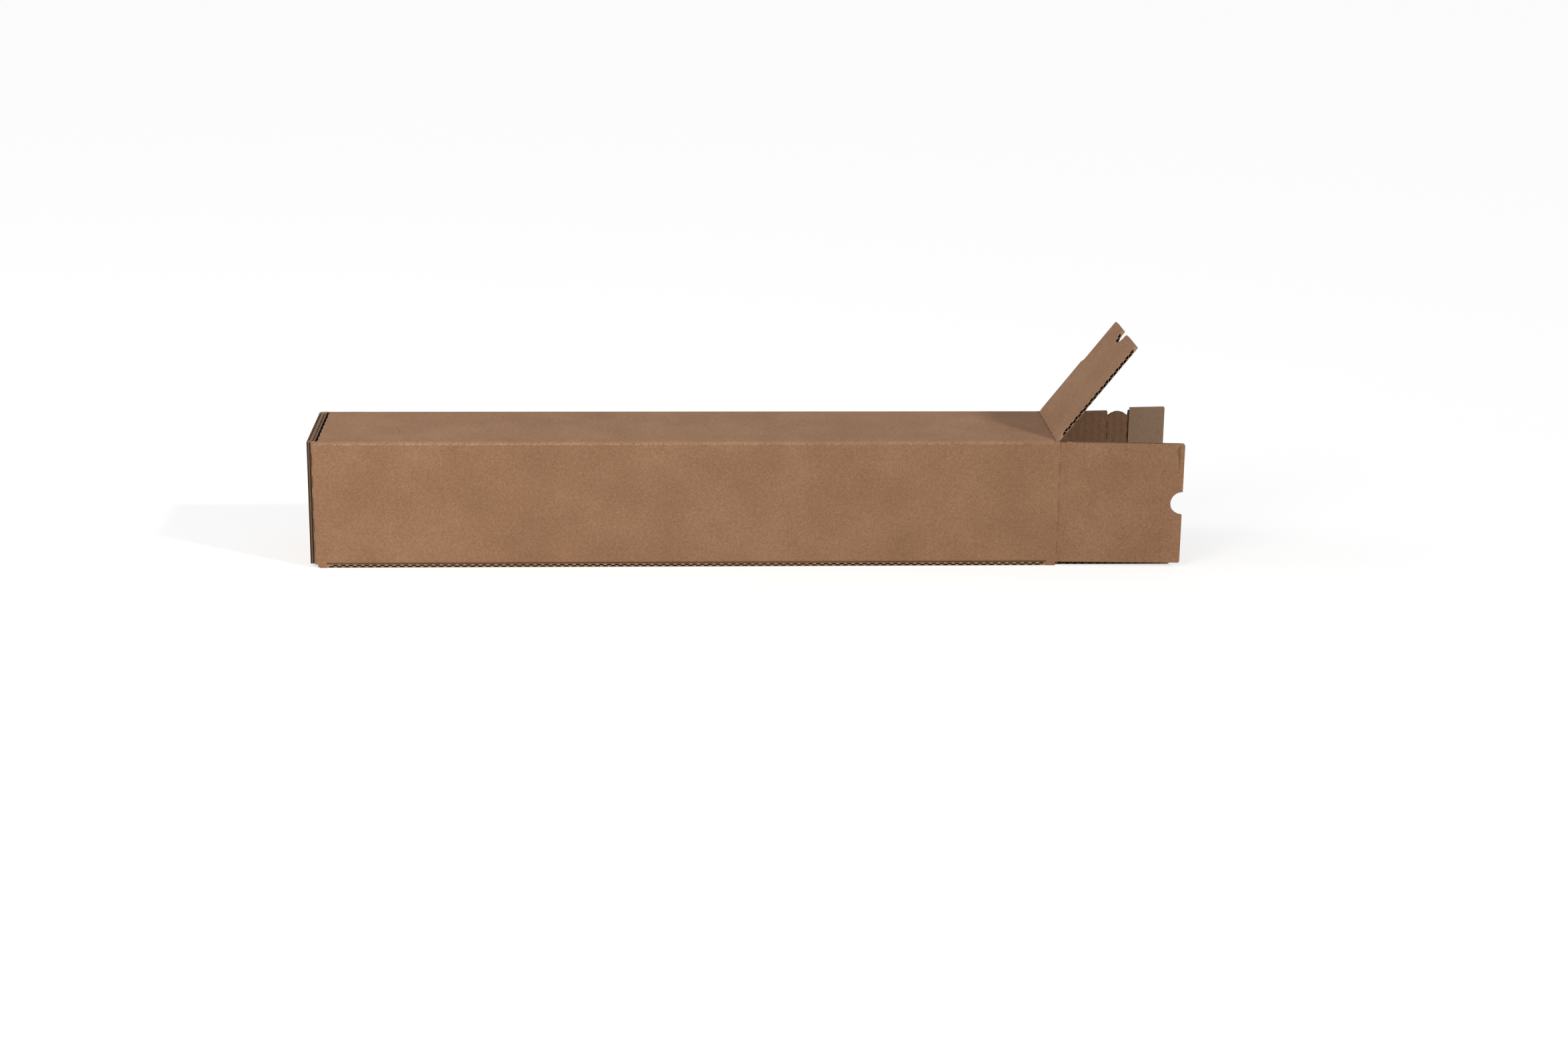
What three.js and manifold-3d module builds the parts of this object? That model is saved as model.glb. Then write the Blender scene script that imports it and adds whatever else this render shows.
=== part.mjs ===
// A long shipping box of corrugated board, lying on its side with its right end open.
// One blank is folded into a square sleeve: the front panel's glue tab lies inside, on the bottom panel.
// The left end is closed by four layers of board, and the right end keeps its four flaps.
// X runs along the box to the open end, Y from the front to the back, Z up. Millimetres.
// The origin is the middle of the underside.

import * as THREE from 'three';
import { mergeVertices } from 'three/addons/utils/BufferGeometryUtils.js';
import Module from 'manifold-3d';

const wasm = await Module();
wasm.setup();

// The folded body, measured outside
const BODY_LENGTH = 622; // from the closed end's inner layer to the crease of the front flap
const BODY_DEPTH = 108;
const BODY_HEIGHT = 108;

// The board: two liners and a wavy medium
const BOARD = 3;
const LINER = 0.35;
const MEDIUM = 0.3;
const FLUTE_PITCH = 6.5;
const FLUTE_FOOT = 0.37 * FLUTE_PITCH; // half a cavity's width along the liner
const FLUTE_ARCH = 0.21 * FLUTE_PITCH; // half the width of its rounded part
const FLUTE_MARGIN = 1; // solid board beside the first and last flute
const FOLD_RADIUS = 2.4;
const CLEARANCE = 0.3;
const GRID = 1000; // steps in a millimetre
const JOIN = 0.5; // how far pieces of one sheet run into each other
const PAST = 1; // how far a cutter reaches past the face that it cuts

// The glued joint along the bottom front edge
const TAB_WIDTH = 35;
const CUT_EDGE_SETBACK = 0.4;
const POCKET_DEPTH = 12; // how far the flutes of the bottom panel's cut edge are open

// The closed end
const LAYER_GAP = 0.4;
const LAYER_BOTTOM = 3; // the two layers stop short of the underside
const OUTER_LAYER_SETBACK = 3; // from the front face to the outer layer's free edge
const END_SLOT = 1.8; // between the inner layer and the top panel
const WAVE_HEIGHT = 1.2; // torn edge of the top panel's perforation
const WAVE_PITCH = 21;
const SLIT_LENGTH = 11;
const SLIT_PITCH = 18.6;
const SLIT_WIDTH = 0.8;
const SLIT_DEPTH = 1.3;
const DUST_INSET = 1; // on each side of the flaps folded in behind the layers

// The creases of the open end: each outer flap turns a little further out than the one below it
const TOP_STEP = 0.8 + BOARD; // front flap's axis beyond the top flap's
const BOTTOM_STEP = CLEARANCE + BOARD; // top flap's axis beyond the bottom flap's
const BACK_STEP = 1.2 + BOARD; // back flap's axis beyond the front flap's
const CREASE_RADIUS = 1; // the board is crushed thin along a crease
const CREASE_TAPER = 4;

// The four flaps
const FLAP_LENGTH = BODY_DEPTH - BOARD - BOARD / 2 - CLEARANCE; // from the axis to the free edge
const FLAP_CORNER = 2;
const SIDE_FLAP_TOP = 0.8; // front and back flaps stop this far below the top face
const FRONT_FLAP_TAPER = 0.5;
const THUMB_RADIUS = 10;
const NOTCH_RADIUS = 9.5;
const NOTCH_PLACE = 57; // from the front face
const NOTCH_LIP = 3;
const DUST_STEP_PLACE = 57; // where the top flap's back edge steps in
const DUST_STEP_DEPTH = 3.6;
const DUST_STEP_RUN = 4;
const TOP_FLAP_ANGLE = 52;
const FRONT_FLAP_ANGLE = 2.7;
const BACK_FLAP_ANGLE = 5;

// The tear strip, its finger tab and the adhesive strip of the back flap
const STRIP_START = 52.5;
const STRIP_WIDTH = 18;
const TAB_NOTCH = 4.6;
const TAB_RISE = 4;
const TEAR_SLIT = 6;
const TEAR_PITCH = 10;
const TEAR_WIDTH = 0.5;
const ADHESIVE_START = 74;
const ADHESIVE_WIDTH = 27;
const ADHESIVE_INSET = 1.5;
const ADHESIVE_CORNER = 0.5;
const FILM = 0.25;
const FILM_GAP = 0.1;
const RELEASE_START = 71.4;
const RELEASE_OVERHANG = 3.2; // the paper stands above the flap's top edge
const RELEASE_CORNER = 2;

// Places that follow from these
const HALF_DEPTH = BODY_DEPTH / 2;
const LEFT = -BODY_LENGTH / 2;
const OUTER_LEFT = LEFT - LAYER_GAP - BOARD;
const SLEEVE_LEFT = LEFT + FOLD_RADIUS + JOIN;
const WAVE_LEFT = LEFT + BOARD + END_SLOT;
const TOP_LEFT = WAVE_LEFT + WAVE_HEIGHT + CLEARANCE;
const BOTTOM_LEFT = TOP_LEFT + BOARD + CLEARANCE;
const FRONT_AXIS = BODY_LENGTH / 2;
const TOP_AXIS = FRONT_AXIS - TOP_STEP;
const BOTTOM_AXIS = TOP_AXIS - BOTTOM_STEP;
const BACK_AXIS = FRONT_AXIS + BACK_STEP;
const PANEL_TO_AXIS = BOARD / 2 + CLEARANCE;
const STRIP_TOP = BODY_HEIGHT - CUT_EDGE_SETBACK;

// Flute cavities of one board, as outlines: s runs across the flutes, t through the board from its middle
function fluteCavities(start, end, archPoints) {
  const halfCore = BOARD / 2 - LINER;
  const swing = halfCore - MEDIUM / 2;
  const count = Math.floor((end - start) / FLUTE_PITCH);
  const first = (start + end - (count - 1) * FLUTE_PITCH) / 2;
  const cavities = [];
  for (let flute = 0; flute < count; flute += 1) {
    for (const side of [-1, 1]) {
      const middle = first + flute * FLUTE_PITCH + (side * FLUTE_PITCH) / 4;
      const points = [new THREE.Vector2(middle - FLUTE_FOOT, side * halfCore)];
      for (let i = 0; i < archPoints; i += 1) {
        const offset = FLUTE_ARCH * ((2 * i) / (archPoints - 1) - 1);
        const height = swing * Math.cos((2 * Math.PI * offset) / FLUTE_PITCH) - MEDIUM / 2;
        points.push(new THREE.Vector2(middle + offset, -side * height));
      }
      points.push(new THREE.Vector2(middle + FLUTE_FOOT, side * halfCore));
      cavities.push(points);
    }
  }
  return cavities;
}

// A closed geometry as a solid, and back. Corners lie on a grid of a micrometre, so flush faces meet.
function solidOf(geometry) {
  const bare = geometry.clone();
  bare.deleteAttribute('normal');
  bare.deleteAttribute('uv');
  const places = bare.attributes.position.array;
  places.forEach((place, i) => { places[i] = Math.round(place * GRID) / GRID; });
  const merged = mergeVertices(bare, 0.1 / GRID);
  const corners = merged.index.array;
  const kept = [];
  for (let i = 0; i < corners.length; i += 3) {
    const [a, b, c] = [corners[i], corners[i + 1], corners[i + 2]];
    if (a !== b && b !== c && c !== a) kept.push(a, b, c);
  }
  return new wasm.Manifold(new wasm.Mesh({
    numProp: 3,
    vertProperties: new Float32Array(merged.attributes.position.array),
    triVerts: new Uint32Array(kept),
  }));
}

function geometryOf(solid) {
  const mesh = solid.getMesh();
  const geometry = new THREE.BufferGeometry();
  geometry.setAttribute('position', new THREE.BufferAttribute(new Float32Array(mesh.vertProperties), 3));
  geometry.setIndex(new THREE.BufferAttribute(new Uint32Array(mesh.triVerts), 1));
  geometry.computeVertexNormals();
  return geometry;
}

// An outline as plain points, without the doubled ones where an arc meets a line
function pointsOnly(shape, curveSegments) {
  const single = (points) => points.filter((point, i) => point.distanceTo(points.at(i - 1)) > 1e-3);
  const { shape: rim, holes } = shape.extractPoints(curveSegments);
  const plain = new THREE.Shape(single(rim));
  plain.holes = holes.map((hole) => new THREE.Path(single(hole)));
  return plain;
}

// Prisms: an outline extruded along Z from low to high, or turned to run along X or Y
function prismZ(outline, low, high, curveSegments = 5) {
  const plain = [outline].flat().map((shape) => pointsOnly(shape, curveSegments));
  const geometry = new THREE.ExtrudeGeometry(plain, { depth: high - low, bevelEnabled: false });
  geometry.translate(0, 0, low);
  return geometry;
}

function prismY(outline, low, high, curveSegments = 5) {
  const geometry = prismZ(outline, 0, high - low, curveSegments);
  geometry.rotateX(Math.PI / 2);
  geometry.translate(0, high, 0);
  return geometry;
}

function prismX(outline, low, high, curveSegments = 2) {
  const geometry = prismZ(outline, 0, high - low, curveSegments);
  geometry.rotateX(Math.PI / 2);
  geometry.rotateZ(Math.PI / 2);
  geometry.translate(low, 0, 0);
  return geometry;
}

function block(lowX, highX, lowY, highY, lowZ, highZ) {
  const geometry = new THREE.BoxGeometry(highX - lowX, highY - lowY, highZ - lowZ);
  geometry.translate((lowX + highX) / 2, (lowY + highY) / 2, (lowZ + highZ) / 2);
  return geometry;
}

function outlineOf(points) {
  return new THREE.Shape(points.map(([x, y]) => new THREE.Vector2(x, y)));
}

// The sleeve's section in Y and Z, with the groove where the front panel turns in over the bottom panel
function sleeveSection() {
  const edge = -HALF_DEPTH + CUT_EDGE_SETBACK;
  const shape = new THREE.Shape();
  shape.moveTo(edge, 0);
  shape.lineTo(HALF_DEPTH - FOLD_RADIUS, 0);
  shape.absarc(HALF_DEPTH - FOLD_RADIUS, FOLD_RADIUS, FOLD_RADIUS, -Math.PI / 2, 0);
  shape.absarc(HALF_DEPTH - FOLD_RADIUS, BODY_HEIGHT - FOLD_RADIUS, FOLD_RADIUS, 0, Math.PI / 2);
  shape.absarc(-HALF_DEPTH + FOLD_RADIUS, BODY_HEIGHT - FOLD_RADIUS, FOLD_RADIUS, Math.PI / 2, Math.PI);
  shape.absarc(-HALF_DEPTH + FOLD_RADIUS, BOARD + FOLD_RADIUS, FOLD_RADIUS, Math.PI, 1.5 * Math.PI);
  shape.lineTo(edge, BOARD);
  shape.closePath();
  return shape;
}

// The left edge of the top panel, where its perforation tore into waves
function wavyTopEdge() {
  const points = [];
  const steps = Math.round((8 * BODY_DEPTH) / WAVE_PITCH);
  const reach = HALF_DEPTH - BOARD + JOIN;
  for (let i = 0; i <= steps; i += 1) {
    const y = reach * ((2 * i) / steps - 1);
    points.push([WAVE_LEFT + (WAVE_HEIGHT / 2) * (1 - Math.cos((2 * Math.PI * y) / WAVE_PITCH)), y]);
  }
  points.push([BOTTOM_LEFT + BOARD, reach], [BOTTOM_LEFT + BOARD, -reach]);
  return outlineOf(points.reverse());
}

// A closed end's layer: a panel across the end with upright flutes, and the rounded fold that carries it
function endLayer(outerX, side, freeEdge, radius) {
  const face = side * HALF_DEPTH;
  const inner = side * (HALF_DEPTH - BOARD);
  const shape = new THREE.Shape();
  shape.moveTo(SLEEVE_LEFT + JOIN, inner);
  shape.lineTo(SLEEVE_LEFT + JOIN, face);
  shape.absarc(outerX + radius, face - side * radius, radius, (side * Math.PI) / 2, Math.PI, side < 0);
  shape.lineTo(outerX, freeEdge);
  shape.lineTo(outerX + BOARD, freeEdge);
  shape.lineTo(outerX + BOARD, inner);
  shape.closePath();
  const [low, high] = side < 0 ? [face + radius, freeEdge] : [freeEdge, face - radius];
  const flutes = fluteCavities(low + FLUTE_MARGIN, high - FLUTE_MARGIN, 3).map((cavity) =>
    outlineOf(cavity.map((point) => [outerX + BOARD / 2 + point.y, point.x])));
  const panel = solidOf(prismZ(shape, LAYER_BOTTOM, STRIP_TOP));
  return panel.subtract(solidOf(prismZ(flutes, LAYER_BOTTOM - PAST, STRIP_TOP + PAST)));
}

// The slits of the perforated fold at the closed end's front corner
function foldSlits() {
  const slits = [];
  const count = Math.floor((BODY_HEIGHT - LAYER_BOTTOM) / SLIT_PITCH);
  const lowest = (BODY_HEIGHT + LAYER_BOTTOM - (count - 1) * SLIT_PITCH) / 2;
  const centre = FOLD_RADIUS * (1 - Math.SQRT1_2);
  for (let i = 0; i < count; i += 1) {
    const slit = new THREE.BoxGeometry(2 * SLIT_DEPTH, SLIT_WIDTH, SLIT_LENGTH);
    slit.rotateZ(Math.PI / 4);
    slit.translate(LEFT + centre, -HALF_DEPTH + centre, lowest + i * SLIT_PITCH);
    slits.push(solidOf(slit));
  }
  return slits;
}

// The open flutes along the bottom panel's cut edge
function edgePockets() {
  const right = BOTTOM_AXIS - PANEL_TO_AXIS;
  const cavities = fluteCavities(BOTTOM_LEFT + FLUTE_MARGIN, right - FLUTE_MARGIN, 2);
  const outlines = cavities.map((cavity) => outlineOf(cavity.map((point) => [point.x, point.y + BOARD / 2])));
  return solidOf(prismY(outlines, -HALF_DEPTH - PAST, -HALF_DEPTH + CUT_EDGE_SETBACK + POCKET_DEPTH));
}

function makeBody() {
  const inside = HALF_DEPTH - BOARD;
  const dust = inside - DUST_INSET;
  const bottomRight = BOTTOM_AXIS - PANEL_TO_AXIS;
  const topRight = TOP_AXIS - PANEL_TO_AXIS;
  const sleeve = solidOf(prismX(sleeveSection(), SLEEVE_LEFT, topRight));
  const cornerTop = BOARD + 2 * FOLD_RADIUS;
  const tabLeft = BOTTOM_LEFT + BOARD + CLEARANCE;
  const emptied = [
    block(SLEEVE_LEFT - PAST, topRight + PAST, -inside, inside, BOARD, BODY_HEIGHT - BOARD),
    block(SLEEVE_LEFT - PAST, TOP_LEFT, -inside, inside, BOARD, BODY_HEIGHT + PAST),
    block(SLEEVE_LEFT - PAST, BOTTOM_LEFT, -HALF_DEPTH - PAST, HALF_DEPTH + PAST, -PAST, cornerTop),
    block(bottomRight, topRight + PAST, -HALF_DEPTH - PAST, HALF_DEPTH + PAST, -PAST, cornerTop),
  ];
  const pieces = [
    prismZ(wavyTopEdge(), BODY_HEIGHT - BOARD, BODY_HEIGHT),
    // glue tab
    block(tabLeft, bottomRight, -inside - JOIN, -inside + TAB_WIDTH, BOARD / 2, 2 * BOARD),
    // front and back panels hang straight down past the ends of the bottom panel
    block(SLEEVE_LEFT, BOTTOM_LEFT + JOIN, -HALF_DEPTH, -inside, 0, cornerTop + JOIN),
    block(bottomRight - JOIN, topRight, -HALF_DEPTH, -inside, 0, cornerTop + JOIN),
    block(SLEEVE_LEFT, BOTTOM_LEFT + JOIN, inside, HALF_DEPTH, 0, cornerTop + JOIN),
    block(bottomRight - JOIN, topRight, inside, HALF_DEPTH, 0, cornerTop + JOIN),
    // and reach past the top panel to their own creases
    block(topRight - JOIN, FRONT_AXIS - PANEL_TO_AXIS, -HALF_DEPTH, -inside, 0, STRIP_TOP),
    block(topRight - JOIN, BACK_AXIS - PANEL_TO_AXIS, inside, HALF_DEPTH, 0, STRIP_TOP),
    // dust flaps folded in behind the closed end
    block(TOP_LEFT, TOP_LEFT + BOARD, -dust, dust, BOARD + CLEARANCE, BODY_HEIGHT - BOARD + JOIN),
    block(BOTTOM_LEFT, BOTTOM_LEFT + BOARD, -dust, dust, BOARD - JOIN, BODY_HEIGHT - BOARD - CLEARANCE),
  ];
  const whole = wasm.Manifold.union([
    sleeve.subtract(wasm.Manifold.union(emptied.map(solidOf))),
    ...pieces.map(solidOf),
    endLayer(LEFT, -1, inside - CLEARANCE, FOLD_RADIUS),
    endLayer(OUTER_LEFT, 1, -HALF_DEPTH + OUTER_LAYER_SETBACK, FOLD_RADIUS + LAYER_GAP),
  ]);
  const cutters = wasm.Manifold.union([edgePockets(), ...foldSlits()]);
  return whole.subtract(cutters);
}

// A flap's board: u from the crease axis to the free edge, v across, t through the board
function flutedBoard(width) {
  const half = BOARD / 2;
  const shape = new THREE.Shape();
  shape.moveTo(FLAP_LENGTH, half);
  shape.lineTo(CREASE_TAPER, half);
  shape.absarc(0, 0, CREASE_RADIUS, Math.PI / 2, 1.5 * Math.PI);
  shape.lineTo(CREASE_TAPER, -half);
  shape.lineTo(FLAP_LENGTH, -half);
  shape.closePath();
  const cavities = fluteCavities(CREASE_TAPER + FLUTE_MARGIN, FLAP_LENGTH - FLUTE_MARGIN, 4);
  const flutes = cavities.map((cavity) => new THREE.Shape(cavity));
  return solidOf(prismY(shape, 0, width)).subtract(solidOf(prismY(flutes, -PAST, width + PAST)));
}

function cutToOutline(width, outline, holes = []) {
  const blank = flutedBoard(width);
  const kept = blank.intersect(solidOf(prismZ(outline, -BOARD, BOARD)));
  return holes.length ? kept.subtract(wasm.Manifold.union(holes)) : kept;
}

// The top flap's outline: a stepped back edge and a finger notch in the free edge
function topFlapOutline() {
  const front = BOARD + CLEARANCE;
  const back = BODY_DEPTH - BOARD - CLEARANCE;
  const tipBack = back - DUST_STEP_DEPTH;
  const end = FLAP_LENGTH;
  const lip = NOTCH_RADIUS + NOTCH_LIP;
  const shape = new THREE.Shape();
  shape.moveTo(-2 * CREASE_RADIUS, front);
  shape.lineTo(end - FLAP_CORNER, front);
  shape.quadraticCurveTo(end, front, end, front + FLAP_CORNER);
  shape.lineTo(end, NOTCH_PLACE - lip);
  shape.quadraticCurveTo(end, NOTCH_PLACE - NOTCH_RADIUS, end - NOTCH_LIP, NOTCH_PLACE - NOTCH_RADIUS);
  shape.absarc(end - NOTCH_LIP / 2, NOTCH_PLACE, NOTCH_RADIUS, 1.5 * Math.PI, Math.PI / 2, true);
  shape.lineTo(end, NOTCH_PLACE + NOTCH_RADIUS);
  shape.lineTo(end, tipBack - FLAP_CORNER);
  shape.quadraticCurveTo(end, tipBack, end - FLAP_CORNER, tipBack);
  shape.lineTo(DUST_STEP_PLACE + DUST_STEP_RUN, tipBack);
  shape.lineTo(DUST_STEP_PLACE, back);
  shape.lineTo(3 * FLAP_CORNER, back);
  shape.quadraticCurveTo(CREASE_RADIUS, back, -CREASE_RADIUS, back - FLAP_CORNER);
  shape.lineTo(-2 * CREASE_RADIUS, back - FLAP_CORNER);
  shape.closePath();
  return shape;
}

// A dust flap without the notch, for the bottom
function bottomFlapOutline() {
  const front = BOARD + CLEARANCE;
  const back = BODY_DEPTH - BOARD - CLEARANCE;
  const end = FLAP_LENGTH;
  const shape = new THREE.Shape();
  shape.moveTo(-2 * CREASE_RADIUS, front);
  shape.lineTo(end - FLAP_CORNER, front);
  shape.quadraticCurveTo(end, front, end, front + FLAP_CORNER);
  shape.lineTo(end, back - FLAP_CORNER);
  shape.quadraticCurveTo(end, back, end - FLAP_CORNER, back);
  shape.lineTo(-2 * CREASE_RADIUS, back);
  shape.closePath();
  return shape;
}

// The front flap: a half-round thumb notch in the middle of its free edge
function frontFlapOutline(height) {
  const end = FLAP_LENGTH;
  const shape = new THREE.Shape();
  shape.moveTo(-2 * CREASE_RADIUS, 0);
  shape.lineTo(end - FLAP_CORNER, 0);
  shape.quadraticCurveTo(end, 0, end, FLAP_CORNER);
  shape.lineTo(end, height / 2 - THUMB_RADIUS);
  shape.absarc(end, height / 2, THUMB_RADIUS, 1.5 * Math.PI, Math.PI / 2, true);
  shape.lineTo(end, height - FRONT_FLAP_TAPER - FLAP_CORNER);
  shape.quadraticCurveTo(end, height - FRONT_FLAP_TAPER, end - FLAP_CORNER, height - FRONT_FLAP_TAPER);
  shape.lineTo(-2 * CREASE_RADIUS, height);
  shape.closePath();
  return shape;
}

// The back flap: the rounded finger tab of its tear strip stands between two notches
function backFlapOutline(height) {
  const end = FLAP_LENGTH;
  const tabLow = height - TAB_NOTCH;
  const middle = STRIP_START + STRIP_WIDTH / 2;
  const shape = new THREE.Shape();
  shape.moveTo(-2 * CREASE_RADIUS, 0);
  shape.lineTo(end - FLAP_CORNER, 0);
  shape.quadraticCurveTo(end, 0, end, FLAP_CORNER);
  shape.lineTo(end, height - FLAP_CORNER);
  shape.quadraticCurveTo(end, height, end - FLAP_CORNER, height);
  shape.lineTo(STRIP_START + STRIP_WIDTH + TEAR_WIDTH, height);
  shape.lineTo(STRIP_START + STRIP_WIDTH, tabLow);
  shape.quadraticCurveTo(middle, tabLow + 2 * TAB_RISE, STRIP_START, tabLow);
  shape.lineTo(STRIP_START - TEAR_WIDTH, height);
  shape.lineTo(-2 * CREASE_RADIUS, height);
  shape.closePath();
  return shape;
}

// Two rows of slits that let the strip tear off
function tearSlits(height) {
  const slits = [];
  const count = Math.floor((height - TAB_NOTCH - TEAR_SLIT) / TEAR_PITCH);
  for (const place of [STRIP_START, STRIP_START + STRIP_WIDTH]) {
    for (let i = 0; i < count; i += 1) {
      const top = height - TAB_NOTCH - TEAR_PITCH / 2 - i * TEAR_PITCH;
      const half = TEAR_WIDTH / 2;
      slits.push(solidOf(block(place - half, place + half, top - TEAR_SLIT, top, -BOARD, BOARD)));
    }
  }
  return slits;
}

// A thin film on the back flap's inner face, in the flap's own u, v and t
function film(start, width, low, high, level, corner) {
  const shape = new THREE.Shape();
  shape.moveTo(start, low);
  shape.lineTo(start + width, low);
  shape.lineTo(start + width, high - corner);
  shape.quadraticCurveTo(start + width, high, start + width - corner, high);
  shape.lineTo(start, high);
  shape.closePath();
  const below = BOARD / 2 + FILM_GAP + level * (FILM + FILM_GAP);
  return solidOf(prismZ(shape, below, below + FILM));
}

const KRAFT = new THREE.MeshStandardMaterial({ color: 0xa8805f, roughness: 0.9, metalness: 0 });
const KRAFT_PALE = new THREE.MeshStandardMaterial({ color: 0xb49a86, roughness: 0.75, metalness: 0 });
const ADHESIVE = new THREE.MeshStandardMaterial({ color: 0xd9c9a2, roughness: 0.45, metalness: 0 });

function namedMesh(name, solid, material) {
  const mesh = new THREE.Mesh(geometryOf(solid), material.clone());
  mesh.name = name;
  return mesh;
}

const box = new THREE.Group();
box.add(namedMesh('carton_body', makeBody(), KRAFT));

const top = new THREE.Group();
top.position.set(TOP_AXIS, -HALF_DEPTH, BODY_HEIGHT - BOARD / 2);
top.rotation.y = -THREE.MathUtils.degToRad(TOP_FLAP_ANGLE);
top.add(namedMesh('top_flap', cutToOutline(BODY_DEPTH, topFlapOutline()), KRAFT));
box.add(top);

const bottom = new THREE.Group();
bottom.position.set(BOTTOM_AXIS, -HALF_DEPTH, BOARD / 2);
bottom.add(namedMesh('bottom_flap', cutToOutline(BODY_DEPTH, bottomFlapOutline()), KRAFT));
box.add(bottom);

// Front and back flaps stand between the open bottom flap and the top flap
const sideLow = BOARD + CLEARANCE;
const sideHeight = BODY_HEIGHT - SIDE_FLAP_TOP - sideLow;

function standingFlap(axis, y, angle) {
  const group = new THREE.Group();
  group.position.set(axis, y, sideLow);
  group.rotation.z = THREE.MathUtils.degToRad(angle);
  const upright = new THREE.Group();
  upright.rotation.x = Math.PI / 2;
  group.add(upright);
  box.add(group);
  return upright;
}

const front = standingFlap(FRONT_AXIS, -HALF_DEPTH + BOARD / 2, -FRONT_FLAP_ANGLE);
front.add(namedMesh('front_flap', cutToOutline(sideHeight, frontFlapOutline(sideHeight)), KRAFT));

const back = standingFlap(BACK_AXIS, HALF_DEPTH - BOARD / 2, BACK_FLAP_ANGLE);
const backBoard = cutToOutline(sideHeight, backFlapOutline(sideHeight), tearSlits(sideHeight));
back.add(namedMesh('back_flap', backBoard, KRAFT));
const adhesiveHigh = sideHeight - ADHESIVE_INSET;
const adhesive = film(ADHESIVE_START, ADHESIVE_WIDTH, ADHESIVE_INSET, adhesiveHigh, 0, ADHESIVE_CORNER);
back.add(namedMesh('adhesive_strip', adhesive, ADHESIVE));
const releaseWidth = FLAP_LENGTH - RELEASE_START;
const release = film(RELEASE_START, releaseWidth, 0, sideHeight + RELEASE_OVERHANG, 1, RELEASE_CORNER);
back.add(namedMesh('release_liner', release, KRAFT_PALE));

export default box;
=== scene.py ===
import math

import bmesh
import bpy
from mathutils import Matrix, Vector


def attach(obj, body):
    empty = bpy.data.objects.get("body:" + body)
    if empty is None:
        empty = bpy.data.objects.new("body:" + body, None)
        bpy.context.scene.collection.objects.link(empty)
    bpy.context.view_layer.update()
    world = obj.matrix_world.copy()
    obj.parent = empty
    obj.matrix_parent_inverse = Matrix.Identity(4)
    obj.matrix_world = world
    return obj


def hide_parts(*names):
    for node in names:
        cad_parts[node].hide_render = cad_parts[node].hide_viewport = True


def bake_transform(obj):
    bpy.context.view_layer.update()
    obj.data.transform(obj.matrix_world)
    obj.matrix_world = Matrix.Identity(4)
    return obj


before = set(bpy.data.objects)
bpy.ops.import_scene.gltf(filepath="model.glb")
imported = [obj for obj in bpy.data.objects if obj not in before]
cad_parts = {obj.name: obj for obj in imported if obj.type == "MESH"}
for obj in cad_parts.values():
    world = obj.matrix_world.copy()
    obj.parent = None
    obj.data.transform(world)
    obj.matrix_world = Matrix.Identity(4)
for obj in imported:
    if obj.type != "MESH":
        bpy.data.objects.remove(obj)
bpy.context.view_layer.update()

# The sleeve and its closed end: one blank of single-wall corrugated board, folded square and glued along the
# bottom. Two brown kraft liners hold a wavy medium, which shows wherever the board was cut. At the left end
# four layers lie behind each other, and the top panel ends in a perforation that tore into waves.

MM = 0.001
BODY_LENGTH = 622.0
BODY_TOP = 108.0
BODY_HALF = BODY_TOP / 2
BOARD = 3.0
HALF = BOARD / 2
CLEARANCE = 0.3
FLUTE_PITCH = 6.5
NEAR = 0.1  # a face this near to a place counts as lying there
FACING = 0.9  # and one with this much of its normal along an axis faces that way
PANEL_INSIDE = BODY_HALF - BOARD
POCKET_BACK = -41.0  # behind the open flutes of the bottom panel's cut edge

LEFT = -BODY_LENGTH / 2  # the inner layer's outer face
INNER_BACK = LEFT + BOARD
LAYER_GAP = 0.4
OUTER_BACK = LEFT - LAYER_GAP
OUTER_FACE = OUTER_BACK - BOARD
CUT_TOP = 107.6  # the layers' upper and lower cut edges, and how far right such edges lie
LAYER_BOTTOM = 3.0
CUT_RIGHT = INNER_BACK + 5
STREAK = -312.8  # the medium's edge, seen in the outer layer's end
STREAK_HALF = 0.4

WAVE_LEFT = INNER_BACK + 1.8  # the solid top panel ends in a plain wave, from here on
WAVE_HEIGHT = 1.2
DUST_FACE = WAVE_LEFT + WAVE_HEIGHT + CLEARANCE
TORN_LEFT = -305.9  # the torn edge's scallops reach this far
TORN_DEPTH = 1.1
TORN_PITCH = 12.56

FOOT_LEFT = -308.1  # the front panel's lower left corner, which is worn to a chamfer
FOOT_RIGHT = -306.3
FOOT_RISE = 1.3

FOLD_LINE = 2.0  # pale dots lie this far below a fold
FOLD_WIDTH = 0.75
FOLD_FADING = (-200, 300)  # they grow fainter from the first place to the second
PALE_FIBRES = 0.6  # how strongly fibres and specks show in the paper
SUNKEN_FIBRES = 0.55
SPECKS = 0.8
FIBRE_SHARPNESS = 30
RELIEF = 0.05  # height of the paper's mottling and grain

# The flute and slot faces take dark tones that are painted shade.
OUTSIDE, INSIDE, CUT, FLUTE, SHADED_SLOT = range(5)


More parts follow.
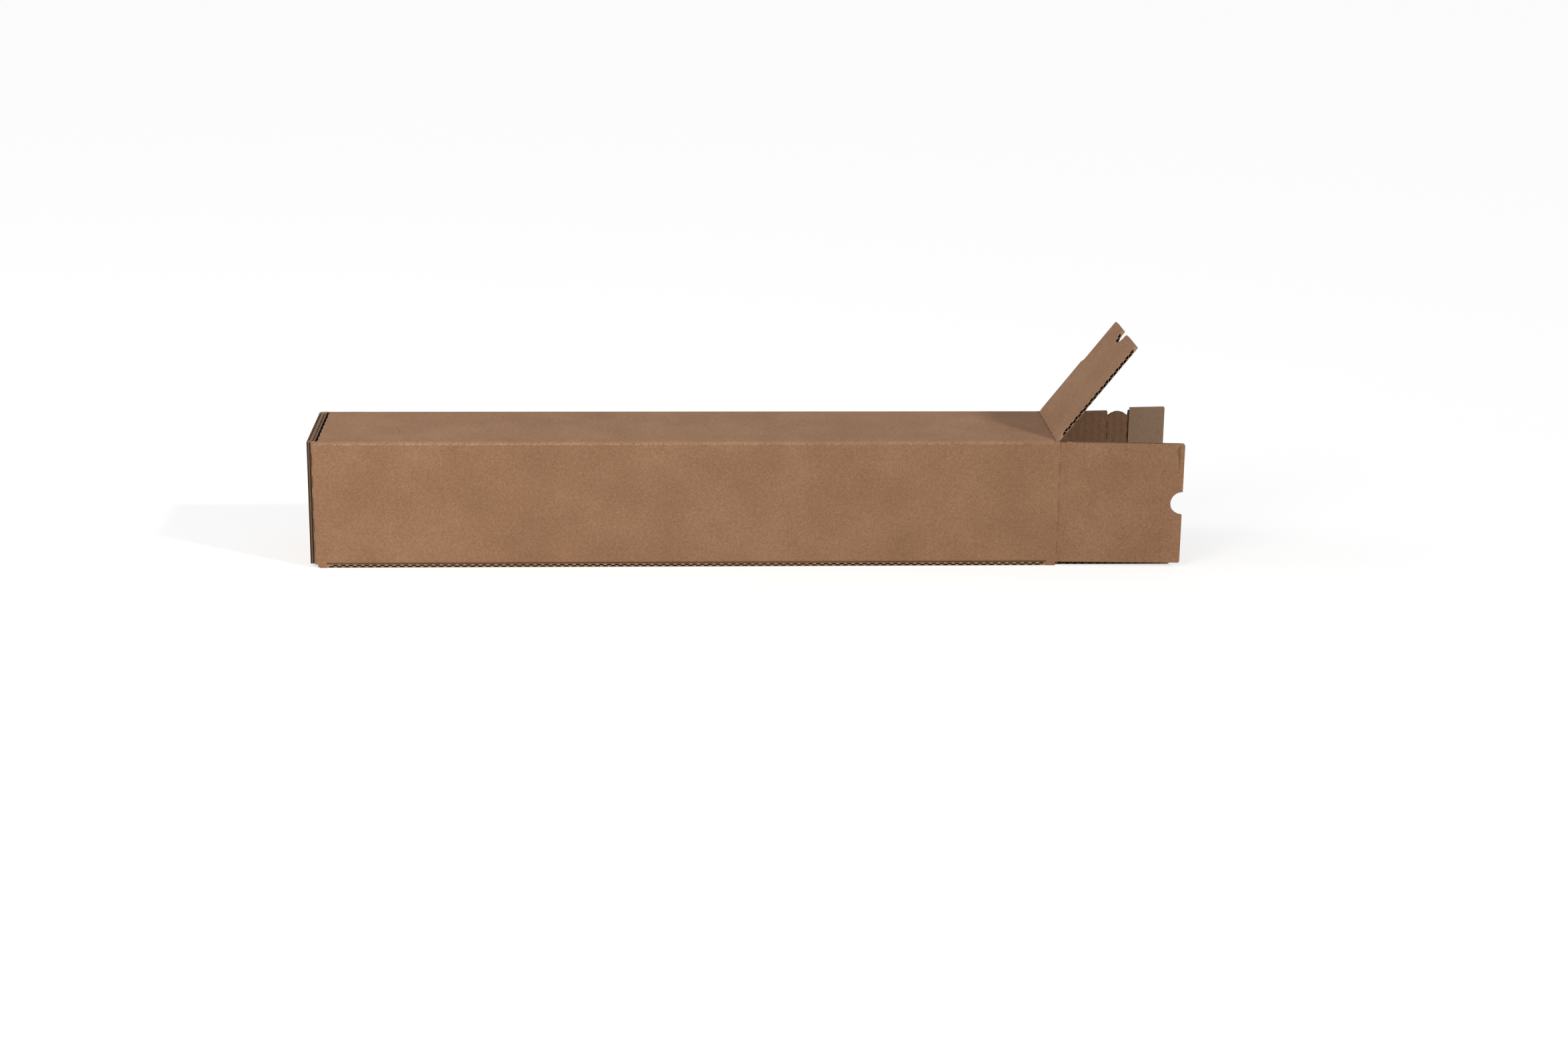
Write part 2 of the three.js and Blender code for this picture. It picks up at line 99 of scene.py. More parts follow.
class Wire:
    """A socket of a material's nodes. Sums and products of wires add Math nodes."""

    def __init__(self, tree, socket=None):
        self.tree = tree
        self.socket = socket

    def node(self, kind, settings=None, inputs=None, output=0):
        """Adds a node: its settings first, then values or wires for its sockets."""
        made = self.tree.nodes.new(kind)
        for name, value in (settings or {}).items():
            if name == "stops":
                while len(made.color_ramp.elements) < len(value):
                    made.color_ramp.elements.new(1)
                for element, (place, colour) in zip(made.color_ramp.elements, value):
                    element.position = place
                    element.color = (*colour, 1)
            else:
                setattr(made, name, value)
        for name, value in (inputs or {}).items():
            if isinstance(value, Wire):
                self.tree.links.new(value.socket, made.inputs[name])
            else:
                made.inputs[name].default_value = value
        return Wire(self.tree, made.outputs[output])

    def math(self, operation, first, second=0.0):
        return self.node("ShaderNodeMath", {"operation": operation}, {0: first, 1: second})

    def __add__(self, other):
        return self.math("ADD", self, other)

    def __sub__(self, other):
        return self.math("SUBTRACT", self, other)

    def __rsub__(self, other):
        return self.math("SUBTRACT", other, self)

    def __mul__(self, other):
        return self.math("MULTIPLY", self, other)

    def __abs__(self):
        return self.math("ABSOLUTE", self)

    def __pow__(self, other):
        return self.math("POWER", self, other)

    __radd__ = __add__
    __rmul__ = __mul__

    def axis(self, index):
        """One of the three numbers of a place."""
        return self.node("ShaderNodeSeparateXYZ", {}, {0: self}, output=index)

    def between(self, low, high):
        """0 at low and below, 1 at high and above, smooth between; low may be the larger."""
        inputs = {0: self, 1: low, 2: high, 3: 0.0, 4: 1.0}
        return self.node("ShaderNodeMapRange", {"interpolation_type": "SMOOTHSTEP"}, inputs)

    def mixed(self, first, second):
        """first where this wire is 0, second where it is 1, as colours."""
        first, second = [(*c, 1) if isinstance(c, tuple) else c for c in (first, second)]
        inputs = {0: self, 6: first, 7: second}
        return self.node("ShaderNodeMix", {"data_type": "RGBA"}, inputs, output=2)


def ink(code):
    """A colour picker's six digits as linear red, green and blue."""
    parts = [int(code[i:i + 2], 16) / 255 for i in (0, 2, 4)]
    return tuple(p / 12.92 if p <= 0.04045 else ((p + 0.055) / 1.055) ** 2.4 for p in parts)


def kraft_paper(name, tones, roughness, ripple, marks_and_painted_shade=None):
    """Kraft paper in three tones, dark to pale. ripple is how far the flutes print through. The last argument
    adds marks and painted shade:
    it takes the place, the noise and the colour, and gives the colour and where the paper is pressed in."""
    material = bpy.data.materials.new(name)
    material.use_nodes = True
    shader = material.node_tree.nodes["Principled BSDF"]
    start = Wire(material.node_tree)
    place = start.node("ShaderNodeTexCoord", output=3)
    place = start.node("ShaderNodeVectorMath", {"operation": "SCALE"}, {0: place, "Scale": 1 / MM})

    def noise(per_mm, detail=1, twist=0.0):
        inputs = {"Vector": place, "Scale": per_mm, "Detail": detail,
                  "Roughness": 0.6, "Distortion": twist}
        return start.node("ShaderNodeTexNoise", {}, inputs)

    def fibres(per_mm, twist, patches_per_mm, full):
        """Thin curls along a noise's middle value, in patches where another noise lies beyond its middle."""
        curls = (1 - abs(noise(per_mm, twist=twist) * 2 - 1)) ** FIBRE_SHARPNESS
        return curls * noise(patches_per_mm).between(0.5, full)

    cloud = noise(0.02, detail=2)
    mottle = noise(0.35, detail=5)
    grain = noise(1.3, detail=4, twist=0.3)
    tone = 0.5 + (cloud - 0.5) * 0.25 + (mottle - 0.5) * 0.3 + (grain - 0.5) * 0.7
    stops = list(zip((0.25, 0.5, 0.75), tones))
    colour = tone.node("ShaderNodeValToRGB", {"stops": stops}, {0: tone})
    strands = fibres(0.6, 0.8, 0.8, 0.62)
    colour = (strands * PALE_FIBRES).mixed(colour, tones[2])
    colour = (fibres(0.5, 1.0, 0.7, 0.38) * SUNKEN_FIBRES).mixed(colour, tones[0])
    inputs = {"Vector": place, "Scale": 0.16}
    speck = start.node("ShaderNodeTexVoronoi", {"feature": "F1"}, inputs).between(0.07, 0.03)
    colour = (speck * SPECKS).mixed(colour, tones[0])
    # Marks, and the dent's painted shade, change the colour here.
    colour, pressed = marks_and_painted_shade(place, noise, colour) if marks_and_painted_shade else (colour, 0.0)

    across = start.node("ShaderNodeAttribute", {"attribute_name": "across"}, output=2)
    wave = start.math("SINE", across * (2 * math.pi / FLUTE_PITCH))
    height = grain * RELIEF + mottle * RELIEF + strands * 0.02 + wave * ripple - pressed * 0.15
    bump = start.node("ShaderNodeBump", {}, {"Strength": 1.0, "Distance": MM, "Height": height})
    links = material.node_tree.links
    links.new(colour.socket, shader.inputs["Base Color"])
    links.new((roughness + (mottle - 0.5) * 0.12).socket, shader.inputs["Roughness"])
    links.new(bump.socket, shader.inputs["Normal"])
    return material


def pale_fold_dots(place, noise, colour):
    """A line of pale dots below the upper folds."""
    away = abs((BODY_TOP - FOLD_LINE) - place.axis(2))
    line = away.between(FOLD_WIDTH, 0.3 * FOLD_WIDTH) * place.axis(0).between(LEFT, LEFT + 2)
    line = line * (1 - place.axis(0).between(*FOLD_FADING) * 0.45)
    dots = line * noise(0.55, detail=2).between(0.4, 0.62) * 0.65
    return dots.mixed(colour, ink("d0ab88")), 0.0


OUTER_TONES = (ink("805d40"), ink("a37958"), ink("c09978"))
folded_liner = kraft_paper("folded_liner", OUTER_TONES, 0.86, 0.015, pale_fold_dots)
inner_liner = kraft_paper("inner_liner", (ink("6f5138"), ink("8e6b4d"), ink("a58164")), 0.9, 0.06)
cut_board = kraft_paper("cut_board", (ink("86674c"), ink("b08d6f"), ink("c9a98c")), 0.95, 0)
# Painted shade: the slot's faces at the closed end get near-black board, standing for the shadow deep in the
# slot.
slot_painted_shade = kraft_paper("slot_painted_shade", (ink("2c2017"), ink("3c2b1e"), ink("4a3626")), 0.95, 0)
# Painted shade: the medium's tones are darkened to stand for the shadow inside the open flutes.
medium_painted_shade = kraft_paper("medium_painted_shade", (ink("2c2017"), ink("463325"), ink("604834")), 0.95, 0)


def whole_mesh(node):
    """A copy of a CAD node's triangles, joined into one closed mesh with its flat faces whole."""
    mesh = bmesh.new()
    mesh.from_mesh(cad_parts[node].data)
    bmesh.ops.remove_doubles(mesh, verts=mesh.verts, dist=0.002 * MM)
    bmesh.ops.dissolve_degenerate(mesh, edges=mesh.edges, dist=0.01 * MM)
    bmesh.ops.dissolve_limit(mesh, angle_limit=math.radians(0.4), verts=mesh.verts, edges=mesh.edges)
    return mesh


def scored(mesh, chosen, place, across):
    """Cuts the chosen faces of a mesh along a plane, so that they can bend there."""
    edges = {edge for face in chosen for edge in face.edges}
    verts = {vert for face in chosen for vert in face.verts}
    geom = [*chosen, *sorted(edges, key=lambda e: e.index), *sorted(verts, key=lambda v: v.index)]
    bmesh.ops.bisect_plane(mesh, geom=geom, plane_co=place * MM, plane_no=across)
    mesh.verts.index_update()
    mesh.edges.index_update()
    mesh.normal_update()


def moved(mesh, place, by, reach):
    """Shifts the vertices within reach of a place."""
    for vert in mesh.verts:
        if (vert.co - place * MM).length < reach * MM:
            vert.co += by * MM


def board_piece(name, mesh, to_board, side_of, across_of, outer, body):
    """A piece of board from a mesh. Each face gets liner, cut edge or flute by its place in the board."""
    mesh.normal_update()
    across = mesh.verts.layers.float.new("across")
    for vert in mesh.verts:
        vert[across] = across_of(to_board @ vert.co / MM)
    for face in mesh.faces:
        normal = to_board.to_3x3() @ face.normal
        face.material_index = side_of(to_board @ face.calc_center_median() / MM, normal)
        face.smooth = True
    for edge in mesh.edges:
        edge.smooth = len(edge.link_faces) == 2 and edge.calc_face_angle() < math.radians(50)
    data = bpy.data.meshes.new(name)
    mesh.to_mesh(data)
    mesh.free()
    for material in (outer, inner_liner, cut_board, medium_painted_shade, slot_painted_shade):
        data.materials.append(material)
    piece = bpy.data.objects.new(name, data)
    bpy.context.scene.collection.objects.link(piece)
    piece.modifiers.new("weighted", "WEIGHTED_NORMAL").keep_sharp = True
    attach(piece, body)
    return piece


def sleeve_side(place, normal):
    """Which part of the board a face of the sleeve belongs to, by its middle and its normal."""
    x, y, z = place
    endways = abs(normal.x) > FACING
    at_cut_height = min(abs(z - CUT_TOP), abs(z - LAYER_BOTTOM)) < NEAR
    in_layers = x < INNER_BACK and LAYER_BOTTOM < z < CUT_TOP and abs(y) < PANEL_INSIDE - 1
    in_torn_edge = z > CUT_TOP - BOARD and abs(y) < PANEL_INSIDE
    if normal.y < -FACING and x < OUTER_BACK + NEAR / 2 and y < 1 - PANEL_INSIDE:
        return INSIDE if abs(x - STREAK) < STREAK_HALF else FLUTE
    if abs(normal.z) > FACING and at_cut_height and x < CUT_RIGHT:
        return CUT
    # The slot's faces take the near-black board of painted shade.
    if endways and min(abs(x - INNER_BACK), abs(x - DUST_FACE)) < NEAR:
        return SHADED_SLOT
    if in_layers and abs(normal.z) < 1 - FACING:
        depths = [abs(x - face) for face in (OUTER_FACE, OUTER_BACK, LEFT, INNER_BACK)]
        return OUTSIDE if depths[0] < NEAR else INSIDE if min(depths) < NEAR else FLUTE
    if endways or (in_torn_edge and normal.x < -0.2):
        return CUT
    if z < BOARD + NEAR and NEAR - BODY_HALF < y < POCKET_BACK and normal.y < -FACING:
        return CUT
    if NEAR < z < BOARD - NEAR and y < POCKET_BACK:
        return FLUTE
    outward = Vector((0, y, z - BODY_HALF)).dot(normal) > 0
    depth = BODY_HALF - max(abs(y), abs(z - BODY_HALF))
    return OUTSIDE if outward and depth < HALF else INSIDE


def sleeve_across(place):
    """How far a point lies across the flutes, which turn the corners into the closed end's two layers."""
    on_panel = place.x > INNER_BACK - 0.05 or abs(place.y) > PANEL_INSIDE + 0.05
    if on_panel or place.z > CUT_TOP + 0.05:
        return place.x
    if place.x > LEFT - LAYER_GAP / 2:
        return LEFT - PANEL_INSIDE - place.y
    return OUTER_FACE - PANEL_INSIDE + place.y


sleeve_mesh = whole_mesh("carton_body")
for x in (STREAK - STREAK_HALF, STREAK + STREAK_HALF):
    scored(sleeve_mesh, sleeve_mesh.faces[:], Vector((x, 0, 0)), Vector((1, 0, 0)))

foot = []
for face in sleeve_mesh.faces:
    at_front = max(vert.co.y for vert in face.verts) < (NEAR - PANEL_INSIDE) * MM
    if face.normal.z < -FACING or (at_front and face.calc_center_median().z < (BOARD + NEAR) * MM):
        foot.append(face)
scored(sleeve_mesh, foot, Vector((FOOT_RIGHT, 0, 0)), Vector((1, 0, 0)))
for y in (-BODY_HALF, -PANEL_INSIDE):
    moved(sleeve_mesh, Vector((FOOT_LEFT, y, 0)), Vector((0, 0, FOOT_RISE)), reach=0.6)

for vert in sleeve_mesh.verts:
    x, y, z = vert.co / MM
    if z > CUT_TOP - BOARD and WAVE_LEFT - NEAR < x < WAVE_LEFT + WAVE_HEIGHT + NEAR:
        notch = 1 - abs(math.cos(math.pi * y / TORN_PITCH))
        vert.co.x = (TORN_LEFT + TORN_DEPTH * notch ** 2) * MM

sleeve = board_piece("sleeve", sleeve_mesh, Matrix.Identity(4), sleeve_side, sleeve_across,
                     folded_liner, "carton")
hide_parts("carton_body")

# The four flaps of the open end, cut from the same blank with flutes along their creases. The top flap stands
# up, the front and back flaps stand open a few degrees, and the bottom flap lies flat. Each is one sheet of
# board whose outline was die-cut, so its flutes are open along the edges that cross them.

LINER = 0.35
LINER_BACK = HALF - LINER + 0.02  # a face further than this from the board's middle is on a liner
CREASE_TAPER = 4.0
FLAP_LENGTH = BODY_TOP - BOARD - HALF - CLEARANCE
SIDE_FLAP_BOTTOM = BOARD + CLEARANCE
TOP_ANGLE = 52
FRONT_ANGLE = 2.7
BACK_ANGLE = 5

FRONT_AXIS = BODY_LENGTH / 2  # the creases are stepped, so that the flaps can close over each other
TOP_AXIS = FRONT_AXIS - BOARD - 0.8
BOTTOM_AXIS = TOP_AXIS - BOARD - CLEARANCE
BACK_AXIS = FRONT_AXIS + BOARD + 1.2
PANEL_MIDDLE = BODY_HALF - HALF
TOP_MIDDLE = BODY_TOP - HALF

DENT_SIDE = 99.9  # the front flap's dent, along the flap and up from its lower edge
DENT_TOP = 102.6
DENT_END = 78.2
DENT_TIP = 98.55
DENT_WIDTH = 3.35
DENT_DEPTH = 0.33
DENT_MARGIN = 0.55  # flat paper beside the tip


def dent_with_painted_shade(place, noise, colour):
    """The dent: painted shade darkens its paper, and it is pressed in as a bump. It narrows from its tip to
    the top and to the end.
    """
    shortened = 0.2  # by the flap's standing open
    inward = (FRONT_AXIS + DENT_SIDE - shortened) - place.axis(0)
    above = place.axis(2) - SIDE_FLAP_BOTTOM
    upper = (DENT_TOP - above) * (DENT_WIDTH / (DENT_TOP - DENT_TIP)) - inward
    lower = (above - DENT_END) * (DENT_WIDTH / (DENT_TIP - DENT_END)) - inward
    pressed = upper.between(0, 0.5) * lower.between(0, 0.4) * inward.between(-0.3, 0.3)
    # Painted shade: the dent's paper is mixed towards the dark tone where its side lies in shade; the same
    # mask sinks the bump.
    return (pressed * 0.7).mixed(colour, OUTER_TONES[0]), pressed


outer_liner = kraft_paper("outer_liner", OUTER_TONES, 0.86, 0.015)
dented_liner_painted_shade = kraft_paper("dented_liner_painted_shade", OUTER_TONES, 0.86, 0.015, dent_with_painted_shade)


def flap_axes(crease, angle, axis):
    """A flap's own axes: along it from the crease, across it, and out through its upper or inner face."""
    upright = Matrix.Rotation(math.radians(90), 4, "X") if axis == "Z" else Matrix.Identity(4)
    return Matrix.Translation(crease * MM) @ Matrix.Rotation(math.radians(angle), 4, axis) @ upright


def flap_side(upper, lower):
    """Sorts a flap's faces into its two liners, which also wrap the crease's end, flutes and cut edges."""
    def side_of(place, normal):
        on_liner = abs(normal.z) > 0.5 and abs(place.z) > LINER_BACK
        if on_liner or (place.x < CREASE_TAPER + NEAR and abs(normal.y) < 0.5):
            return upper if place.z > 0 else lower
        if abs(normal.y) < 0.5 and abs(place.z) < LINER_BACK and place.x < FLAP_LENGTH - NEAR:
            return FLUTE
        return CUT
    return side_of


def dent_pressed_in(mesh, axes):
    """Scores a patch of a flap's outer face along the dent's sides, then presses in the dent's tip."""
    turn = axes.to_3x3()
    along, up, out = Vector((1, 0, 0)), Vector((0, 1, 0)), Vector((0, 0, 1))
    tip = Vector((DENT_SIDE - DENT_WIDTH, DENT_TIP, HALF))
    top = Vector((DENT_SIDE, DENT_TOP, HALF))
    end = Vector((DENT_SIDE, DENT_END, HALF))

    def score(place, across, left=-NEAR, low=-NEAR):
        """Scores the outer faces that reach the dent's side and lie past left and low."""
        patch = []
        for face in mesh.faces:
            corners = [axes.inverted() @ vert.co / MM for vert in face.verts]
            lengths, heights = [c.x for c in corners], [c.y for c in corners]
            inside = max(lengths) > DENT_SIDE - 1 and min(lengths) > left and min(heights) > low
            if inside and (turn.inverted() @ face.normal).z > FACING:
                patch.append(face)
        scored(mesh, patch, axes @ (place * MM) / MM, turn @ across)

    patch_left = tip.x - DENT_MARGIN - NEAR
    patch_low = end.y - NEAR
    score(tip - DENT_MARGIN * along, along)
    score(end, up, patch_left)
    score(top, (tip - top).cross(out).normalized(), patch_left, patch_low)
    score(end, (tip - end).cross(out).normalized(), patch_left, patch_low)
    score(top, along, patch_left, patch_low)
    moved(mesh, axes @ (tip * MM) / MM, turn @ (-DENT_DEPTH * out), reach=0.2)


def flap(node, crease, angle, axis, upper, lower, dent=False):
    """A flap's board, with its faces sorted in the flap's own axes."""
    axes = flap_axes(Vector(crease), angle, axis)
    mesh = whole_mesh(node)
    if dent:
        dent_pressed_in(mesh, axes)
    piece = board_piece(node + "_board", mesh, axes.inverted(), flap_side(upper, lower),
                        lambda place: place.x, dented_liner_painted_shade if dent else outer_liner, node + "_body")
    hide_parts(node)


flap("top_flap", (TOP_AXIS, -BODY_HALF, TOP_MIDDLE), -TOP_ANGLE, "Y", OUTSIDE, INSIDE)
flap("bottom_flap", (BOTTOM_AXIS, -BODY_HALF, HALF), 0, "Y", INSIDE, OUTSIDE)
flap("front_flap", (FRONT_AXIS, -PANEL_MIDDLE, SIDE_FLAP_BOTTOM), -FRONT_ANGLE, "Z", OUTSIDE, INSIDE,
     dent=True)
flap("back_flap", (BACK_AXIS, PANEL_MIDDLE, SIDE_FLAP_BOTTOM), BACK_ANGLE, "Z", INSIDE, OUTSIDE)

# The creases: both liners run on from a panel into its flap, pressed together along a line. Those of the
# front and top flaps are cut through in short slits, so that they fold sharply. Each is shaped at its flap's
# angle.

PANEL_END = 1.8  # from the crease's axis to the end of the panel's full thickness
TIE_HALF = 1.1  # half the crease's thickness at its middle, where it is whole
SLIT_HALF = 0.35  # and where it is slit
CREASE_FRONT = -50.6  # where the top and bottom creases start
CREASE_WIDTH = 101
CREASE_FOOT = 3.4  # where the front and back creases start
CREASE_HEIGHT = 103.6
WHOLE = 0.1  # the slits of a crease that has none


def crease_profile(angle, pinch):
    """The crease's section about its axis: panel towards -x, flap turned up by angle."""
    turn = Matrix.Rotation(math.radians(angle), 2)
    dip = (1 + pinch) / 2
    panel = [(-PANEL_END - 0.6, 0.94 * HALF), (-PANEL_END - 0.1, 1.01 * HALF),
             (-1.5, 0.97 * HALF), (-0.9, dip)]
    leaf = [(0.6, 0.5 * (dip + 1.14)), (1.5, 1.25), (3.0, 1.43), (4.1, 1.55), (4.5, 1.4)]
    half_turn = math.radians(angle / 2)
    middle = Vector((-math.sin(half_turn), math.cos(half_turn))) * pinch
    upper = [Vector(p) for p in panel] + [middle] + [turn @ Vector(p) for p in leaf]
    lower = [Vector((x, -z)) for x, z in panel] + [-middle] + [turn @ Vector((x, -z)) for x, z in leaf]
    return upper + lower[::-1]


def extruded(name, profile, length):
    """A crease's section as a prism along +Z. Its ends are rows of quads, so that they bend cleanly."""
    mesh = bmesh.new()
    ends = [[mesh.verts.new((x * MM, y * MM, z * MM)) for x, y in profile] for z in (0, length)]
    count = len(profile)
    for i in range(count):
        j = (i + 1) % count
        mesh.faces.new((ends[0][i], ends[0][j], ends[1][j], ends[1][i]))
    for ring in ends:
        for i in range(count // 2 - 1):
            mesh.faces.new((ring[i], ring[i + 1], ring[count - 2 - i], ring[count - 1 - i]))
    bmesh.ops.recalc_face_normals(mesh, faces=mesh.faces)
    data = bpy.data.meshes.new(name)
    mesh.to_mesh(data)
    mesh.free()
    part = bpy.data.objects.new(name, data)
    bpy.context.scene.collection.objects.link(part)
    return part


def row_tree(material):
    """Geometry Nodes: a crease's ties and slits, by turns along +Z."""
    tree = bpy.data.node_groups.new("row_of_ties_and_slits", "GeometryNodeTree")
    tree.interface.new_socket("Geometry", in_out="INPUT", socket_type="NodeSocketGeometry")
    for name, kind in (("Count", "Int"), ("Pitch", "Float"), ("Offset", "Float"),
                       ("Tie", "Object"), ("Slit", "Object")):
        tree.interface.new_socket(name, in_out="INPUT", socket_type="NodeSocket" + kind)
    tree.interface.new_socket("Geometry", in_out="OUTPUT", socket_type="NodeSocketGeometry")

    def add(kind, **links):
        node = tree.nodes.new(kind)
        for name, value in links.items():
            socket = node.inputs[name.replace("_", " ")]
            if isinstance(value, bpy.types.NodeSocket):
                tree.links.new(value, socket)
            else:
                socket.default_value = value
        return node.outputs

    given = add("NodeGroupInput")
    step = add("ShaderNodeCombineXYZ", Z=given["Pitch"])[0]
    shift = add("ShaderNodeCombineXYZ", Z=given["Offset"])[0]
    ties = add("GeometryNodeMeshLine", Count=given["Count"], Offset=step)[0]
    slits = add("GeometryNodeMeshLine", Count=given["Count"], Offset=step, Start_Location=shift)[0]
    joined = tree.nodes.new("GeometryNodeJoinGeometry")
    for points, part in ((ties, "Tie"), (slits, "Slit")):
        shape = add("GeometryNodeObjectInfo", Object=given[part])["Geometry"]
        placed = add("GeometryNodeInstanceOnPoints", Points=points, Instance=shape)[0]
        tree.links.new(placed, joined.inputs[0])
    real = add("GeometryNodeRealizeInstances", Geometry=joined.outputs[0])[0]
    painted = add("GeometryNodeSetMaterial", Geometry=real, Material=material)[0]
    tree.links.new(painted, tree.nodes.new("NodeGroupOutput").inputs[0])
    return tree


def crease(name, body, place, along, length, angle, tie, slit):
    """A crease as a row of ties and slits. along turns the row's +Z, and it bends at the crease's axis."""
    tie_part = extruded("tie", crease_profile(angle, TIE_HALF), tie)
    slit_part = extruded("slit", crease_profile(angle, SLIT_HALF), slit)
    strip = bpy.data.objects.new(name, bpy.data.meshes.new(name))
    bpy.context.scene.collection.objects.link(strip)
    modifier = strip.modifiers.new("row", "NODES")
    modifier.node_group = row_tree(outer_liner)
    values = {"Count": round(length / (tie + slit)), "Pitch": (tie + slit) * MM, "Offset": tie * MM,
              "Tie": tie_part, "Slit": slit_part}
    for item in modifier.node_group.interface.items_tree:
        if item.name in values:
            modifier[item.identifier] = values[item.name]
    bpy.context.view_layer.update()
    made = strip.evaluated_get(bpy.context.evaluated_depsgraph_get())
    data = bpy.data.meshes.new_from_object(made)
    strip.modifiers.clear()
    strip.data = data
    bpy.data.objects.remove(tie_part)
    bpy.data.objects.remove(slit_part)

    place = Vector(place) * MM
    data.transform(Matrix.Translation(place) @ along)
    data.materials.clear()
    for material in (outer_liner, medium_painted_shade):
        data.materials.append(material)
    joined = bmesh.new()
    joined.from_mesh(data)
    bmesh.ops.remove_doubles(joined, verts=joined.verts, dist=0.001 * MM)
    run = along.to_3x3() @ Vector((0, 0, 1))
    for face in joined.faces:
        face.material_index = 1 if abs(face.normal.dot(run)) > FACING else 0
    joined.to_mesh(data)
    joined.free()
    half = math.radians(angle / 2)
    reach = along.to_3x3() @ Vector((math.cos(half), math.sin(half), 0)) * MM
    place - 0.5 * reach
    place + 0.5 * reach
    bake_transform(strip)


# How a crease's section is laid along each crease: its x away from the panel, its y to the panel's outer face
LYING = Matrix(((1, 0, 0, 0), (0, 0, 1, 0), (0, 1, 0, 0), (0, 0, 0, 1)))
STANDING_AT_FRONT = Matrix(((1, 0, 0, 0), (0, -1, 0, 0), (0, 0, 1, 0), (0, 0, 0, 1)))
STANDING_AT_BACK = Matrix.Identity(4)

crease("top_crease", "top_flap_body", (TOP_AXIS, CREASE_FRONT, TOP_MIDDLE), LYING,
       CREASE_WIDTH, TOP_ANGLE, tie=8, slit=6.4)
crease("bottom_crease", "bottom_flap_body", (BOTTOM_AXIS, CREASE_FRONT, HALF), LYING,
       CREASE_WIDTH, 0, tie=50.5, slit=WHOLE)
crease("front_crease", "front_flap_body", (FRONT_AXIS, -PANEL_MIDDLE, CREASE_FOOT), STANDING_AT_FRONT,
       CREASE_HEIGHT, FRONT_ANGLE, tie=8.3, slit=9)
crease("back_crease", "back_flap_body", (BACK_AXIS, PANEL_MIDDLE, CREASE_FOOT), STANDING_AT_BACK,
       CREASE_HEIGHT, BACK_ANGLE, tie=51.7, slit=WHOLE)

# The closing strip on the back flap's inner face: a band of pressure-sensitive adhesive under a strip of
# coated paper, which stands a little above the flap so that it can be gripped and peeled off.

ADHESIVE_TONES = (ink("b9a06c"), ink("cdb98a"), ink("ddcda6"))
RELEASE_TONES = (ink("8f6f56"), ink("a98a6e"), ink("b89c80"))


def strip_layer(node, slot, tones, roughness, ripple):
    """A layer of the closing strip keeps its CAD mesh and gets its material."""
    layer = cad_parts[node]
    layer.data.materials.clear()
    layer.data.materials.append(kraft_paper(slot, tones, roughness, ripple))


strip_layer("adhesive_strip", "adhesive", ADHESIVE_TONES, 0.4, 0)
strip_layer("release_liner", "release_paper", RELEASE_TONES, 0.6, 0.02)

# The floor, the light and the camera. A low key light from the front right throws the top flap's shadow on
# the top panel, and a broad soft one from the left fills it.

FLOOR_HALF = 6.0
floor_data = bpy.data.meshes.new("floor")
corners = [(x * FLOOR_HALF, y * FLOOR_HALF, 0) for x, y in ((-1, -1), (1, -1), (1, 1), (-1, 1))]
floor_data.from_pydata(corners, [], [(0, 1, 2, 3)])
floor = bpy.data.objects.new("floor", floor_data)
bpy.context.scene.collection.objects.link(floor)
floor_paint = bpy.data.materials.new("floor_paint")
floor_paint.use_nodes = True
floor_data.materials.append(floor_paint)
floor_start = Wire(floor_paint.node_tree)
floor_seen = floor_start.node("ShaderNodeLightPath", output=0)
matt = floor_start.node("ShaderNodeBsdfDiffuse", {}, {"Color": (0.56, 0.55, 0.53, 1)})
glow = floor_start.node("ShaderNodeEmission", {}, {"Color": (1, 1, 1, 1), "Strength": floor_seen * 0.62})
both = floor_start.node("ShaderNodeAddShader", {}, {0: matt, 1: glow})
floor_paint.node_tree.links.new(both.socket, floor_paint.node_tree.nodes["Material Output"].inputs[0])


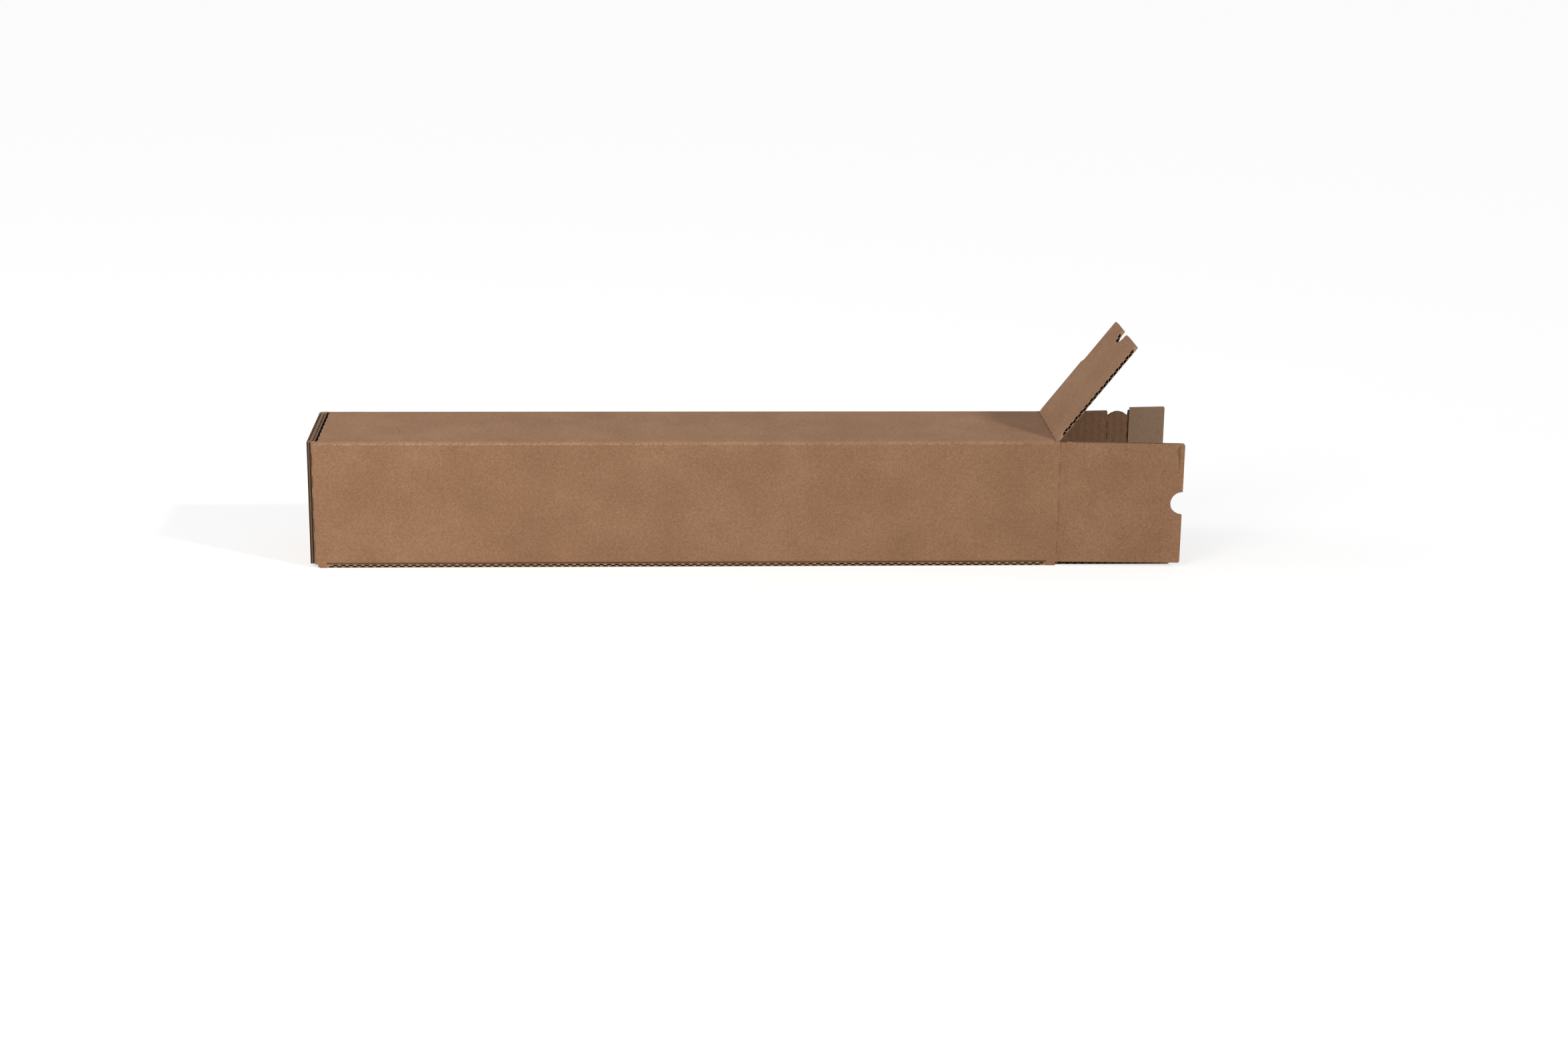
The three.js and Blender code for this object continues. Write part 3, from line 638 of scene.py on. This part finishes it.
def lamp(name, kind, colour, energy, towards):
    """A lamp that stands towards one side and shines away from it."""
    light = bpy.data.lights.new(name, kind)
    light.color = colour
    light.energy = energy
    stand = bpy.data.objects.new(name, light)
    stand.rotation_euler = Vector(towards).to_track_quat("Z", "Y").to_euler()
    bpy.context.scene.collection.objects.link(stand)
    return stand


WARM = (1, 0.95, 0.9)
WARMER = (1, 0.95, 0.88)
WHITE = (1, 1, 1)
KEY_SIDE = (0.717, -0.461, 0.519)
FILL_SIDE = (-0.95, 0.1, 0.35)
SOFTBOX_PLACE = Vector((-0.95, -1.3, 0.95))
SOFTBOX_AIM = Vector((-0.2, 0, 0.05))

key = lamp("key", "SUN", WARM, 1.33, KEY_SIDE)
key.data.angle = math.radians(5)
fill = lamp("fill", "SUN", WHITE, 0.55, FILL_SIDE)
fill.data.angle = math.radians(40)
softbox = lamp("soft", "AREA", WARMER, 12, SOFTBOX_PLACE - SOFTBOX_AIM)
softbox.data.size = 0.9
softbox.location = SOFTBOX_PLACE

world = bpy.data.worlds.new("studio")
bpy.context.scene.world = world
world.use_nodes = True
world_seen = Wire(world.node_tree).node("ShaderNodeLightPath", output=0)
backdrop = world.node_tree.nodes["Background"]
tint = world_seen.mixed((0.92, 0.98, 1.09), WHITE)
world.node_tree.links.new(tint.socket, backdrop.inputs["Color"])
world.node_tree.links.new((0.37 + world_seen * 0.63).socket, backdrop.inputs["Strength"])

LENS = 64.29  # 4200 pixels on a 36 mm sensor of 2352
CAMERA_PLACE = (-0.045, -2.3008, 0.684)
CAMERA_TURN = -3.18
CAMERA_DIP = 16.01
CAMERA_ROLL = 0.71
camera_data = bpy.data.cameras.new("camera")
camera_data.lens = LENS
camera_data.sensor_width = 36
camera = bpy.data.objects.new("camera", camera_data)
camera.matrix_world = (Matrix.Translation(CAMERA_PLACE)
                       @ Matrix.Rotation(math.radians(CAMERA_TURN), 4, "Z")
                       @ Matrix.Rotation(math.radians(90 - CAMERA_DIP), 4, "X")
                       @ Matrix.Rotation(math.radians(CAMERA_ROLL), 4, "Z"))
bpy.context.scene.collection.objects.link(camera)
bpy.context.scene.camera = camera
bpy.context.scene.view_settings.view_transform = "Standard"
